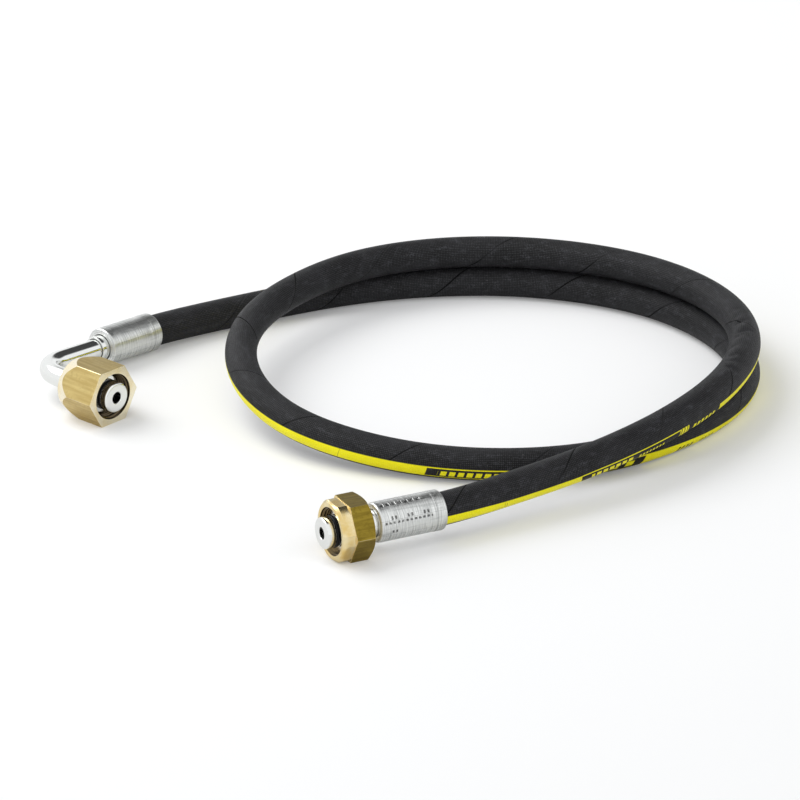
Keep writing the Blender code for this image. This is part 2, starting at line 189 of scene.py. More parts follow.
# The hose's route over the floor, from the right-angle end to the straight end
ROUTE = [
    (54.5, 266.0, 7.8),
    (93.0, 268.5, 7.6),
    (131.5, 267.5, 7.6),
    (168.5, 259.7, 7.6),
    (203.8, 243.6, 7.6),
    (233.0, 219.0, 7.6),
    (254.2, 187.2, 7.6),
    (263.5, 150.0, 7.6),
    (260.5, 112.0, 7.6),
    (243.5, 77.5, 7.6),
    (215.0, 52.5, 7.6),
    (180.0, 37.0, 7.6),
    (142.0, 31.5, 7.6),
    (105.0, 40.0, 7.6),
    (72.0, 59.7, 8.0),
    (44.5, 86.2, 10.5),
    (26.3, 119.0, 14.4),
    (23.7, 156.6, 18.6),
    (35.8, 193.0, 21.9),
    (59.5, 223.5, 23.0),
    (90.5, 245.7, 23.0),
    (126.5, 259.2, 23.0),
    (164.5, 259.0, 23.0),
    (200.2, 246.1, 23.0),
    (230.9, 222.8, 23.0),
    (253.2, 192.1, 23.0),
    (264.4, 156.0, 23.0),
    (262.5, 117.5, 23.0),
    (247.5, 83.2, 23.0),
    (222.0, 54.2, 23.0),
    (191.0, 32.2, 22.3),
    (155.5, 17.0, 20.2),
    (118.5, 8.5, 17.3),
    (80.5, 3.5, 14.9),
]

# The cloth wrap: where its edge crosses the top of the hose, its pitch there, and how much of
# the pitch is left when it is measured square to the edge
WRAP_CROSSINGS = [
    -32, 26, 85, 144, 203.5, 262, 322, 377, 427, 488, 549.6, 610.4, 665.6, 716.4, 770.9,
    832, 895, 958, 1013, 1069, 1126.5, 1180.5, 1240.5, 1296.5, 1356.5, 1415,
]
WRAP_PITCH = 57.7
WRAP_SQUARE = 0.632

# The cloth's imprint: threads round the hose, and their pitch along it
WEAVE_ROUND = 28.0
WEAVE_PITCH = 1.7

# The stripe's upper edge: place along the hose and degrees above the outward horizontal
STRIPE_EDGE = [
    (0, 5), (400, -1), (410, -3), (420, -8), (430, -13), (450, -14), (470, -12.5),
    (480, -10), (500, -6), (508, -4), (570, 1), (610, 1), (640, 2), (680, 2.5),
    (700, 2), (710, 0.5), (900, 0), (1100, 0), (1150, -3), (1170, -4), (1190, -7.4),
    (1205, -8.3), (1230, -8), (1250, -9.3), (1270, -11), (1290, -13), (1300, -16),
    (1320, -15), (1330, -14.5), (1340, -12.7), (1350, -9), (1360, -6.2), (1369, -4.7),
    (1400, -4.7),
]

# How far the stripe reaches round the hose: place along the hose and degrees
STRIPE_TURN = [(0, 53), (508, 53), (560, 45), (1260, 45), (1300, 40), (1400, 39)]

# Creases pressed into the cover, and swellings between them where the depth is negative:
# place, half width, degrees, degrees to each side, depth
CREASE_LEAN = 0.03
CREASES = [
    (1109.0, 2.0, 112.0, 26.0, 0.40),
    (1117.5, 1.8, 122.0, 24.0, 0.55),
    (1124.5, 1.7, 112.0, 26.0, 0.95),
    (1130.5, 2.2, 100.0, 24.0, -0.40),
    (1136.3, 1.6, 98.0, 26.0, 1.15),
    (1142.0, 1.6, 118.0, 22.0, 0.85),
    (1148.0, 2.6, 108.0, 24.0, -0.40),
    (1154.5, 1.7, 124.0, 26.0, 0.75),
    (1161.0, 2.6, 104.0, 24.0, -0.35),
    (1167.5, 1.7, 106.0, 26.0, 0.75),
    (1174.5, 1.8, 90.0, 26.0, 0.50),
    (1182.0, 1.8, 74.0, 24.0, 0.35),
]


def smooth_path(points, step):
    """Natural cubic spline through the points, read off about every step.

    The second derivatives solve the usual three-term system, and each span blends its two ends.
    """
    points = np.array(points, dtype=float)
    reach = np.linalg.norm(np.diff(points, axis=0), axis=1)
    knots = np.concatenate(([0.0], np.cumsum(reach)))
    count = len(points)
    system = np.eye(count)
    bend = np.zeros_like(points)
    inner = np.arange(1, count - 1)
    system[inner, inner - 1] = reach[:-1]
    system[inner, inner] = 2 * (reach[:-1] + reach[1:])
    system[inner, inner + 1] = reach[1:]
    slopes = np.diff(points, axis=0) / reach[:, None]
    bend[1:-1] = 6 * np.diff(slopes, axis=0)
    second = np.linalg.solve(system, bend)
    places = np.linspace(0.0, knots[-1], max(2, round(knots[-1] / step) + 1))
    span = np.clip(np.searchsorted(knots, places, side="right") - 1, 0, count - 2)
    width = reach[span][:, None]
    right = (places - knots[span])[:, None] / width
    left = 1 - right
    return (
        left * points[span] + right * points[span + 1]
        + ((left**3 - left) * second[span] + (right**3 - right) * second[span + 1]) * width**2 / 6
    )


def unit(vectors):
    """Vectors scaled to length one."""
    return vectors / np.linalg.norm(vectors, axis=-1, keepdims=True)


def grid_object(name, points, lays, material, creases=()):
    """A mesh from a grid of points (rows, columns, 3) that closes on itself both ways.

    lays maps a UV map's name to an array (rows + 1, columns + 1, 2). The edges that run
    along the columns numbered in creases are sharp.
    """
    rows, columns = points.shape[:2]
    corner = np.arange(rows * columns).reshape(rows, columns)
    row, column = np.meshgrid(np.arange(rows), np.arange(columns), indexing="ij")
    steps = np.array(((0, 0), (0, 1), (1, 1), (1, 0)))
    at_row = row[..., None] + steps[:, 0]
    at_column = column[..., None] + steps[:, 1]
    quads = corner[at_row % rows, at_column % columns].reshape(-1, 4)
    flat = points.reshape(-1, 3)
    a, b, c, d = (flat[quads[:, k]] for k in range(4))
    volume = (np.cross(a - c, b - d) * (a + b + c + d)).sum()
    order = slice(None) if volume > 0 else slice(None, None, -1)
    quads = quads[:, order]
    mesh = bpy.data.meshes.new(name)
    mesh.from_pydata((flat * MM).tolist(), [], quads.tolist())
    for lay, values in lays.items():
        layer = mesh.uv_layers.new(name=lay)
        picked = values[at_row, at_column].reshape(-1, 4, 2)[:, order]
        layer.data.foreach_set("uv", picked.astype(np.float32).ravel())
    mesh.shade_smooth()
    if len(creases):
        ends = np.empty(2 * len(mesh.edges), dtype=np.int32)
        mesh.edges.foreach_get("vertices", ends)
        first, second = (ends.reshape(-1, 2) % columns).T
        sharp = (first == second) & np.isin(first, creases)
        mesh.edges.foreach_set("use_edge_sharp", sharp)
    mesh.materials.append(material)
    obj = bpy.data.objects.new(name, mesh)
    bpy.context.scene.collection.objects.link(obj)
    return obj


def share_of(reach, width):
    """How much of a width a reach has passed, from nought to one."""
    return np.clip(reach / width, 0, 1)


def fit(obj, node, body):
    """Let a piece stand for its plain solid and ride with its body."""
    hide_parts(node)
    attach(obj, body)


def end_axes(back):
    """Columns of a frame whose third axis runs along back and whose second leans upwards."""
    third = unit(back)
    first = unit(np.cross((0.0, 0.0, 1.0), third))
    return np.stack((first, np.cross(third, first), third), axis=1)


def rounded(outline, radius, steps=3):
    """Break the corners of a closed outline of (distance, radius) pairs.

    Each corner p with sides a and b becomes p + (1-t)^2 a + t^2 b, and a point just beyond
    each end of that arc keeps the flats flat.
    """
    def side(step):
        along = np.roll(outline, step, axis=0) - outline
        length = np.maximum(np.linalg.norm(along, axis=-1, keepdims=True), 1e-9)
        return along / length * np.minimum(radius, 0.3 * length)

    before, after = side(1), side(-1)
    t = np.linspace(0.0, 1.0, steps + 1).reshape((-1,) + (1,) * outline.ndim)
    arcs = outline + (1 - t) ** 2 * before + t**2 * after
    parts = np.concatenate(((outline + 1.5 * before)[None], arcs, (outline + 1.5 * after)[None]))
    return np.swapaxes(parts, 0, 1).reshape((-1,) + outline.shape[1:])


def corner_arc(distance, radius, size, start, stop, steps=6):
    """Points (distance, radius) on a circle of a given size, between two angles in degrees."""
    turn = np.radians(np.linspace(start, stop, steps))
    return list(zip(distance + size * np.cos(turn), radius + size * np.sin(turn)))


def turned_object(name, sections, angles, origin, back, material, lays=None, creases=()):
    """Carry sections round an axis: origin + radius (cos a, sin a) + distance along the axis.

    sections is (rows, columns, 2), one closed section of (distance, radius) pairs per angle.
    The UV map turned holds the angle in turns and the distance round the section in metres.
    """
    distance, radius = sections[..., 0], sections[..., 1]
    local = np.stack((radius * np.cos(angles), radius * np.sin(angles), distance), axis=-1)
    points = local @ end_axes(back).T + origin
    walk = np.linalg.norm(np.diff(sections[:, 0], axis=0, append=sections[:1, 0]), axis=1)
    down = np.concatenate(([0.0], np.cumsum(walk))) * MM
    round_turns = np.concatenate((angles, [angles[0] + math.tau])) / math.tau
    lay = np.stack(np.broadcast_arrays(round_turns[None, :], down[:, None]), axis=-1)
    return grid_object(name, points, {"turned": lay, **(lays or {})}, material, creases)


def same_all_round(outline, columns):
    """One section for every one of the columns, and their angles."""
    angles = np.arange(columns) * math.tau / columns
    return np.repeat(outline[:, None], columns, axis=1), angles


def hose_frames():
    """The hose's centre line with its outward and upward directions, every ring step."""
    leg_start = ELBOW_CORNER + LEG * (ELBOW_FERRULE_FACE + HOSE_STOP)
    leg_mouth = ELBOW_CORNER + LEG * LEG_REACH
    stop = STRAIGHT_NOSE + STRAIGHT_BACK * (STRAIGHT_FERRULE_FACE + HOSE_STOP)
    mouth = STRAIGHT_NOSE + STRAIGHT_BACK * (STRAIGHT_FERRULE_FACE + FERRULE_LENGTH)
    line = smooth_path([leg_start, leg_mouth] + ROUTE + [mouth, stop], HOSE_RING_STEP)
    along = unit(np.gradient(line, axis=0))
    outward = unit(np.cross((0.0, 0.0, 1.0), along))
    upward = np.cross(along, outward)
    upward *= np.sign(upward[:, 2:])
    walked = np.concatenate(([0.0], np.cumsum(np.linalg.norm(np.diff(line, axis=0), axis=1))))
    return line, outward, upward, walked


def hose_object(material):
    """The hose: outer skin out along the line, and its bore back along the same line.

    Point = line + (radius - creases) * (cos a outward + sin a upward), where each crease is a
    bell in both directions. The UV map stripe holds the share of a turn below the stripe's
    upper edge, and metres along. The UV map wrap holds the count of cloth-wrap edges passed,
    which is whole on each edge, and the share of a turn that the stripe covers.
    """
    line, outward, upward, walked = hose_frames()
    count = len(line)
    back_rows = np.round(np.linspace(count - 1, 0, count // RINGS_PER_BORE_RING)).astype(int)
    rows = np.concatenate((np.arange(count), back_rows))
    skin = np.arange(len(rows)) < count
    degrees = HOSE_RING_START + np.arange(HOSE_AROUND + 1) * 360.0 / HOSE_AROUND
    angle = np.radians(degrees[:-1])
    place = walked[rows][:, None]
    crease = np.zeros((len(rows), HOSE_AROUND))
    for middle, width, centre, spread, depth in CREASES:
        leaning = middle + (degrees[:-1] - centre) * CREASE_LEAN
        across = np.exp(-(((degrees[:-1] - centre) / spread) ** 2))
        crease += depth * across * np.exp(-(((place - leaning) / width) ** 2))
    radius = np.where(skin, HOSE_R, HOSE_BORE_R)[:, None] - crease * skin[:, None]
    spokes = (
        np.cos(angle)[None, :, None] * outward[rows][:, None]
        + np.sin(angle)[None, :, None] * upward[rows][:, None]
    )
    points = line[rows][:, None] + radius[..., None] * spokes
    edges = np.array(STRIPE_EDGE, dtype=float)
    rows_closed = np.concatenate((rows, rows[:1]))
    place = walked[rows_closed][:, None]
    edge = np.interp(place, edges[:, 0], edges[:, 1])
    below = (edge - degrees[None, :]) / 360.0
    turns = np.array(STRIPE_TURN, dtype=float)
    turn = np.interp(place, turns[:, 0], turns[:, 1]) / 360.0
    passed = np.interp(place, WRAP_CROSSINGS, np.arange(len(WRAP_CROSSINGS)))
    wraps = passed + (degrees[None, :] - 90.0) / 360.0
    lays = {
        "stripe": np.stack(np.broadcast_arrays(below, place * MM), axis=-1),
        "wrap": np.stack(np.broadcast_arrays(wraps, turn), axis=-1),
    }
    return grid_object("hose_cover", points, lays, material), line


def nose_outline():
    """From the nose's face to the neck: rounded nose, O-ring groove, land and flange."""
    rim = corner_arc(NOSE_ROUND, NOSE_R - NOSE_ROUND, NOSE_ROUND, 180, 90)
    return [(0.0, BORE_R + BORE_BEVEL)] + rim + [
        (NOSE_LENGTH, NOSE_R), (NOSE_LENGTH, GROOVE_R), (GROOVE_END, GROOVE_R),
        (GROOVE_END, NOSE_R), (FLANGE_START, NOSE_R), (FLANGE_START, FLANGE_R),
        (FLANGE_END, FLANGE_R), (FLANGE_END, NECK_R),
    ]


def tail_outline(ferrule_face):
    """The seat behind the ferrule's lip, the barbs and the end of the hose tail."""
    seat = ferrule_face + FERRULE_LIP + SEAT_GAP
    seat_end = seat + LIP_SEAT_LENGTH
    outline = [(seat, NECK_R), (seat, LIP_SEAT_R), (seat_end, LIP_SEAT_R), (seat_end, TAIL_ROOT_R)]
    for number in range(BARB_COUNT):
        crest = seat + BARB_START + number * BARB_PITCH
        outline += [(crest, TAIL_ROOT_R), (crest, TAIL_R), (crest + BARB_LAND, TAIL_R)]
    end = seat + BARB_START + BARB_COUNT * BARB_PITCH
    return outline + [(end, TAIL_ROOT_R), (end, BORE_R)]


def round_piece(name, node, outline, origin, back, material):
    """A piece that is the same all round its axis."""
    sections, angles = same_all_round(rounded(np.array(outline), EDGE_ROUND), NOSE_POINTS)
    obj = turned_object(name, sections, angles, origin, back, material)
    fit(obj, node, "hose_line")


def o_ring(name, node, origin, back, material):
    """A ring of round section in the groove."""
    last = 360 - 360 / O_RING_SECTION_POINTS
    outline = corner_arc(
        O_RING_MIDDLE, O_RING_R, O_RING_SECTION_R, 0, last, O_RING_SECTION_POINTS
    )
    sections, angles = same_all_round(np.array(outline), O_RING_POINTS)
    obj = turned_object(name, sections, angles, origin, back, material)
    fit(obj, node, "hose_line")


def ferrule(name, node, axis_origin, back, face, material):
    """A crimped ferrule. Radius = outline - press of the eight dies + a thin ridge between dies.

    The press is deepest in the middle of each die and fades out at the face and the end band.
    """
    band_start = FERRULE_LENGTH - FERRULE_BAND_LENGTH
    mouth = (FERRULE_LENGTH - MOUTH_ROUND, FERRULE_BAND_R - MOUTH_ROUND)
    body = corner_arc(FACE_ROUND, FERRULE_R - FACE_ROUND, FACE_ROUND, 180, 90)
    body += [(band_start - BAND_SLOPE, FERRULE_R), (band_start, FERRULE_BAND_R)]
    body += corner_arc(*mouth, MOUTH_ROUND, 90, 0)
    body += [(FERRULE_LENGTH, FERRULE_BORE_R), (FERRULE_LIP, FERRULE_BORE_R)]
    body += [(FERRULE_LIP, LIP_HOLE_R), (0.0, LIP_HOLE_R)]
    outline = rounded(np.array(body), FERRULE_EDGE_ROUND, 2)
    split = []
    for start, stop in zip(outline, np.roll(outline, -1, axis=0)):
        pieces = max(1, int(abs(stop[0] - start[0]) / FERRULE_POINT_GAP))
        split += [start + (stop - start) * part / pieces for part in range(pieces)]
    sections, angles = same_all_round(np.array(split), FERRULE_POINTS)
    off = (angles * CRIMP_DIES / math.tau + 0.5) % 1.0 - 0.5
    distance = sections[..., 0]
    outside = sections[..., 1] > FERRULE_R - OUTSIDE_DEPTH
    margin, width = BODY_FADE
    held = share_of(distance - FACE_ROUND, FACE_FADE)
    held *= share_of(band_start - margin - distance, width)
    margin, width = BAND_FADE
    band = share_of(distance - band_start - margin, width)
    ridge = np.exp(-(((np.abs(off) - 0.5) / RIDGE_WIDTH) ** 2))
    die = np.cos(math.pi * off) ** 2
    press = CRIMP_LEAST + CRIMP_MORE * die - RIDGE_RISE * ridge
    sections[..., 1] -= outside * (held * press + band * CRIMP_BAND * die)
    obj = turned_object(name, sections, angles, axis_origin + back * face, back, material)
    fit(obj, node, "hose_line")


def nut_angles():
    """Angles round a nut and the numbers of its crease columns.

    Each sixth has columns at the hexagon's worn corners and where the flats leave the collar.
    """
    leave = math.degrees(math.acos(STRAIGHT_COLLAR_FLATS_R / STRAIGHT_COLLAR_R))
    worn = math.degrees(math.acos(FLATS_R / CORNER_R))
    half = [4.0, 8.0, 12.0, 16.0, leave, 22.0, 24.0, 26.0, 28.0, worn]
    off = np.array([-value for value in half[::-1]] + [0.0] + half + [30.0])
    creased = np.isin(np.round(np.abs(off), 3), np.round((leave, worn), 3))
    angles = np.radians(np.arange(6)[:, None] * 60.0 + off[None, :] + 90.0).ravel()
    return angles, np.nonzero(np.tile(creased, 6))[0]


def off_flat(angles):
    """Each angle measured from the middle of its flat, where one flat faces the second axis."""
    return (angles - math.pi / 2 + math.pi / 6) % (math.pi / 3) - math.pi / 6


def hexagon(angles, flats):
    """Distance from the axis to a hexagon with worn corners."""
    return np.minimum(flats / np.cos(off_flat(angles)), CORNER_R)


def nut_object(name, node, body, outside, rear, threaded, origin, back, material):
    """A nut: outside rows with broken edges, its rear hole, then its thread back to the mouth.

    The thread is a vee whose depth follows (distance / pitch - turns), so that it winds round
    the bore, and it fades at both ends. The UV map cut holds the share of raw bar, which is
    the hexagon's flats, and the share of shaded bore.
    """
    angles, creases = nut_angles()
    first, last = threaded
    distance = np.arange(last, first, -THREAD_ROW_STEP)[:, None]
    phase = (distance / THREAD_PITCH - angles[None, :] / math.tau) % 1.0
    vee = np.clip(1.25 - 2.5 * np.abs(phase - 0.5), 0, 1)
    fade = share_of(distance - first, THREAD_FRONT_FADE)
    fade *= share_of(last - distance, THREAD_BACK_FADE)
    radius = THREAD_CREST_R + (THREAD_ROOT_R - THREAD_CREST_R) * vee * fade
    thread = np.stack(np.broadcast_arrays(distance, radius), axis=-1)
    hole = np.repeat(np.array(rear)[:, None], len(angles), axis=1)
    shell = rounded(np.concatenate((outside, hole)), EDGE_ROUND)[2:-2]
    sections = np.concatenate((shell, thread))
    reach = sections[..., 1] * np.cos(off_flat(angles))
    bar = np.abs(reach - FLATS_R) < ON_FLAT
    margin, width = SHADE_REAR
    inside = share_of(THREAD_ROOT_R + MOUTH_BEVEL - sections[..., 1], SHADE_FADE)
    inside *= share_of(rear[0][0] - margin - sections[..., 0], width)
    cut = np.stack((bar.astype(float), inside), axis=-1)
    lays = {"cut": np.pad(cut, ((0, 1), (0, 1), (0, 0)), mode="wrap")}
    obj = turned_object(name, sections, angles, origin, back, material, lays, creases)
    fit(obj, node, body)


def outside_rows(angles, front, mouth, rest):
    """A nut's outside rows from pairs of distance and radius, each fixed or by angle.

    They start where the thread does, and the mouth, wider than the thread, comes first.
    """
    pairs = [
        (front + mouth + MOUTH_SLOPE, THREAD_CREST_R), (front + mouth, THREAD_ROOT_R),
        (front + MOUTH_BEVEL, THREAD_ROOT_R), (front, THREAD_ROOT_R + MOUTH_BEVEL), *rest,
    ]
    ones = np.ones_like(angles)
    return np.stack([np.stack((away * ones, radius * ones), axis=-1) for away, radius in pairs])


def rear_hole(back, wall):
    """The hole through a nut's rear wall, up to its bore."""
    return [(back, NUT_HOLE_R), (back - wall, NUT_HOLE_R), (back - wall, THREAD_CREST_R)]


def straight_nut(material):
    """Collar with narrow flats, hexagon with a plain front and a chamfered back."""
    angles, _ = nut_angles()
    flats = hexagon(angles, FLATS_R)
    collar = np.minimum(hexagon(angles, STRAIGHT_COLLAR_FLATS_R), STRAIGHT_COLLAR_R)
    front, hexagon_front, back = STRAIGHT_FRONT, STRAIGHT_HEX_FRONT, STRAIGHT_BACK_FACE
    undercut, undercut_start = collar - UNDERCUT_DEPTH, hexagon_front - UNDERCUT_LENGTH
    outside = outside_rows(angles, front, STRAIGHT_MOUTH, [
        (front, STRAIGHT_COLLAR_R - STRAIGHT_COLLAR_BEVEL),
        (front + STRAIGHT_COLLAR_BEVEL, collar),
        (undercut_start, collar), (undercut_start, undercut),
        (hexagon_front, undercut), (hexagon_front, flats),
        (back - (flats - STRAIGHT_REAR_R) * STRAIGHT_REAR_SLOPE, flats), (back, STRAIGHT_REAR_R),
    ])
    nut_object(
        "straight_nut", "union_nut_straight", "straight_nut", outside,
        rear_hole(back, STRAIGHT_REAR_WALL), STRAIGHT_THREAD,
        STRAIGHT_NOSE, STRAIGHT_BACK, material,
    )


def elbow_nut(material):
    """Hexagon with a long rear cone that cuts its corners away."""
    angles, _ = nut_angles()
    flats = hexagon(angles, FLATS_R)
    back = ELBOW_BACK_FACE
    slope = (ELBOW_CONE_FRONT_R - ELBOW_CONE_R) / ELBOW_CONE_LENGTH
    outside = outside_rows(angles, ELBOW_FRONT, ELBOW_MOUTH, [
        (ELBOW_FRONT, flats), (back - (flats - ELBOW_CONE_R) / slope, flats),
        (back - ELBOW_REAR_EDGE, ELBOW_REAR_EDGE_R), (back, ELBOW_REAR_R),
    ])
    nut_object(
        "elbow_nut", "union_nut_elbow", "elbow_nut", outside,
        rear_hole(back, ELBOW_REAR_WALL), ELBOW_THREAD,
        ELBOW_NOSE, ELBOW_BACK, material,
    )


def elbow_tube(material):
    """The bent tube: a circle carried out along its line, and its bore back along it.

    The line is straight, then a quarter circle about the bend's centre, then straight.
    """
    centre = ELBOW_CORNER + (LEG - ELBOW_BACK) * BEND_R
    turn = np.linspace(0, math.pi / 2, BEND_POINTS)[:, None]
    bend = centre - LEG * BEND_R * np.cos(turn) + ELBOW_BACK * BEND_R * np.sin(turn)
    front = ELBOW_CORNER - ELBOW_BACK * (NOSE_REACH - ELBOW_BACK_FACE + SOCKET_DEPTH)
    end = ELBOW_CORNER + LEG * (ELBOW_FERRULE_FACE - COLLAR_SHOWN + SOCKET_DEPTH)
    share = np.array((0.0, 0.01, 0.03, 0.2, 0.4, 0.6, 0.8, 0.95))[:, None]
    lead = front + (bend[0] - front) * share
    trail = end + (bend[-1] - end) * share[::-1]
    line = np.concatenate((lead, bend, trail))
    tangent = np.concatenate((
        np.repeat(ELBOW_BACK[None], len(lead), axis=0),
        LEG * np.sin(turn) + ELBOW_BACK * np.cos(turn),
        np.repeat(LEG[None], len(trail), axis=0),
    ))
    level = unit(np.cross(LEG, ELBOW_BACK))
    across = np.cross(tangent, level)
    rows = np.concatenate((np.arange(len(line)), np.arange(len(line))[::-1]))
    radius = np.repeat((TUBE_R, BORE_R), len(line))
    turns = np.arange(TUBE_POINTS + 1) / TUBE_POINTS
    cosine, sine = (wave(turns[:-1] * math.tau)[None, :, None] for wave in (np.cos, np.sin))
    spokes = cosine * across[rows][:, None] + sine * level
    points = line[rows][:, None] + radius[:, None, None] * spokes
    walk = np.linalg.norm(np.diff(line[rows], axis=0), axis=1)
    down = np.concatenate(([0.0], np.cumsum(walk), [0.0]))
    lay = np.stack(np.broadcast_arrays(turns[None, :], down[:, None] * MM), axis=-1)
    obj = grid_object("bent_tube", points, {"turned": lay}, material)
    fit(obj, "elbow_tube", "hose_line")


class Finish:
    """A Principled material and short ways to wire nodes into it."""

    def __init__(self, name, colour, roughness, metallic=0.0, specular=0.5):
        self.material = bpy.data.materials.new(name)
        self.material.use_nodes = True
        self.tree = self.material.node_tree
        self.shader = self.tree.nodes["Principled BSDF"]
        self.shader.inputs["Base Color"].default_value = (*colour, 1.0)
        self.shader.inputs["Roughness"].default_value = roughness
        self.shader.inputs["Metallic"].default_value = metallic
        self.shader.inputs["Specular IOR Level"].default_value = specular

    def feed(self, socket, source):
        """Link a socket to a node's socket, or set its value."""
        if isinstance(source, bpy.types.NodeSocket):
            self.tree.links.new(source, socket)
        else:
            socket.default_value = source

    def math(self, operation, *values):
        """A Math node."""
        node = self.tree.nodes.new("ShaderNodeMath")
        node.operation = operation
        for socket, value in zip(node.inputs, values):
            self.feed(socket, value)
        return node.outputs[0]

    def ramp(self, value, low, high, start=0.0, stop=1.0):
        """Value from low to high read as start to stop, smoothly and no further."""
        node = self.tree.nodes.new("ShaderNodeMapRange")
        node.interpolation_type = "SMOOTHSTEP"
        for socket, given in zip(node.inputs, (value, low, high, start, stop)):
            self.feed(socket, given)
        return node.outputs[0]

    def mix(self, share, *colours):
        """Two colours mixed by a share."""
        node = self.tree.nodes.new("ShaderNodeMix")
        node.data_type = "RGBA"
        self.feed(node.inputs[0], share)
        for number, colour in zip((6, 7), colours):
            linked = isinstance(colour, bpy.types.NodeSocket)
            self.feed(node.inputs[number], colour if linked else (*colour, 1.0))
        return node.outputs[2]

    def over(self, base, share, most, colour):
        """A colour laid over another, where the share says and at most so strongly."""
        return self.mix(self.math("MULTIPLY", share, most), base, colour)

    def noise(self, scale, detail=2.0, stretch=None, lay=None):
        """Noise on object coordinates in metres, or on a UV map, stretched if asked."""
        if lay:
            where = self.lay(lay)
        else:
            where = self.tree.nodes.new("ShaderNodeTexCoord").outputs["Object"]
        if stretch:
            mapping = self.tree.nodes.new("ShaderNodeMapping")
            mapping.inputs["Scale"].default_value = stretch
            self.feed(mapping.inputs["Vector"], where)
            where = mapping.outputs[0]
        node = self.tree.nodes.new("ShaderNodeTexNoise")
        self.feed(node.inputs["Vector"], where)
        node.inputs["Scale"].default_value = scale
        node.inputs["Detail"].default_value = detail
        return node.outputs["Fac"]

    def lay(self, name):
        """A UV map as a vector."""
        node = self.tree.nodes.new("ShaderNodeUVMap")
        node.uv_map = name
        return node.outputs[0]

    def parts(self, vector):
        """The three parts of a vector."""
        node = self.tree.nodes.new("ShaderNodeSeparateXYZ")
        self.feed(node.inputs[0], vector)
        return node.outputs

    def bump(self, height, distance, strength=1.0, before=None):
        """A Bump node of a height in metres."""
        node = self.tree.nodes.new("ShaderNodeBump")
        self.feed(node.inputs["Height"], height)
        node.inputs["Distance"].default_value = distance
        node.inputs["Strength"].default_value = strength
        if before:
            self.feed(node.inputs["Normal"], before)
        return node.outputs[0]

    def colour(self, source):
        """Set the base colour."""
        self.feed(self.shader.inputs["Base Color"], source)

    def roughness(self, source):
        """Set the roughness."""
        self.feed(self.shader.inputs["Roughness"], source)

    def normal(self, source):
        """Set the normal."""
        self.feed(self.shader.inputs["Normal"], source)

    def chain(self, operation, shares):
        """One Math operation carried through some shares."""
        total = shares[0]
        for share in shares[1:]:
            total = self.math(operation, total, share)
        return total

    def all_of(self, *shares):
        """Shares multiplied together."""
        return self.chain("MULTIPLY", shares)

    def most_of(self, *shares):
        """The largest of some shares."""
        return self.chain("MAXIMUM", shares)

    def between(self, value, low, high, soft):
        """One between low and high, nought outside, with soft edges."""
        return self.all_of(
            self.ramp(value, low - soft, low + soft),
            self.ramp(value, high - soft, high + soft, 1.0, 0.0),
        )

    def row_of_blocks(self, along, across, row, soft):
        """Equal blocks in a row: start, stop, upper, lower, pitch and share of the pitch filled.

        soft holds how soft their edges are along the row and across it.
        """
        start, stop, upper, lower, pitch, share = row
        phase = self.math("FRACT", self.math("DIVIDE", self.math("SUBTRACT", along, start), pitch))
        return self.all_of(
            self.between(along, start, stop, soft[0]),
            self.between(across, upper, lower, soft[1]),
            self.between(phase, 0.5 - share / 2, 0.5 + share / 2, soft[0] / pitch),
        )


# The stripe's print. Fields: start and stop along the hose, and which of them have a yellow line
# along both edges. Rows of blocks: start and stop, degrees below the stripe's upper edge from and
# to, pitch and the share of the pitch filled.
BLACK_FIELDS = [(507.0, 606.3), (1205.0, 1231.0), (1237.3, 1297.6)]
LINED_FIELDS = [(507.0, 606.3), (1237.3, 1297.6)]
YELLOW_ROWS = [
    (512.0, 517.0, 13.0, 36.0, 5.0, 0.80),
    (519.0, 568.0, 13.0, 36.0, 7.0, 0.72),
    (573.0, 601.0, 13.0, 34.5, 3.9, 0.68),
    (1208.5, 1227.0, 12.0, 45.0, 3.2, 0.60),
    (1247.5, 1264.0, 21.0, 38.0, 2.1, 0.56),
    (1267.5, 1292.0, 13.5, 36.0, 3.7, 0.70),
]
BLACK_ROWS = [
    (449.0, 455.5, 20.0, 38.0, 2.4, 0.26),
    (461.0, 471.0, 17.0, 38.0, 2.5, 0.34),
    (476.0, 487.0, 17.0, 42.0, 2.7, 0.50),
    (1231.0, 1237.3, 0.0, 45.0, 2.1, 0.30),
    (1338.2, 1340.4, 6.0, 28.0, 1.1, 0.16),
]

# A thin joint across the stripe
JOINT = (646.9, 647.2)

# How far the print leans along the hose for each degree, up to one place and from another
LEAN_PLACES = (800.0, 1100.0)
LEANS = (0.04, -0.03)

# Soft edges: the stripe's in degrees, the fields' and the joint's in millimetres, and the
# blocks' in both
STRIPE_SOFT = 1.5
FIELD_SOFT = 0.2
JOINT_SOFT = 0.12
PRINT_SOFT = (0.12, 1.0)

# Colours of the hose; a pair is its darkest and lightest
RUBBER = ((0.004, 0.004, 0.0045), (0.011, 0.011, 0.0125))
# Painted highlight: lighter grey on the raised threads of the cloth imprint
RAISED_GLINT_GREY = (0.062, 0.062, 0.065)
# Lighter bluish patches: partly the rubber's own bloom, partly a painted sheen
BLOOM_AND_SHEEN_GREY = (0.075, 0.076, 0.086)
SPECK_GREY = (0.14, 0.14, 0.14)
GAP_BLACK = (0.001, 0.001, 0.001)
PAINT = ((0.90, 0.81, 0.004), (0.98, 0.90, 0.006))
JOINT_BROWN = (0.30, 0.27, 0.01)


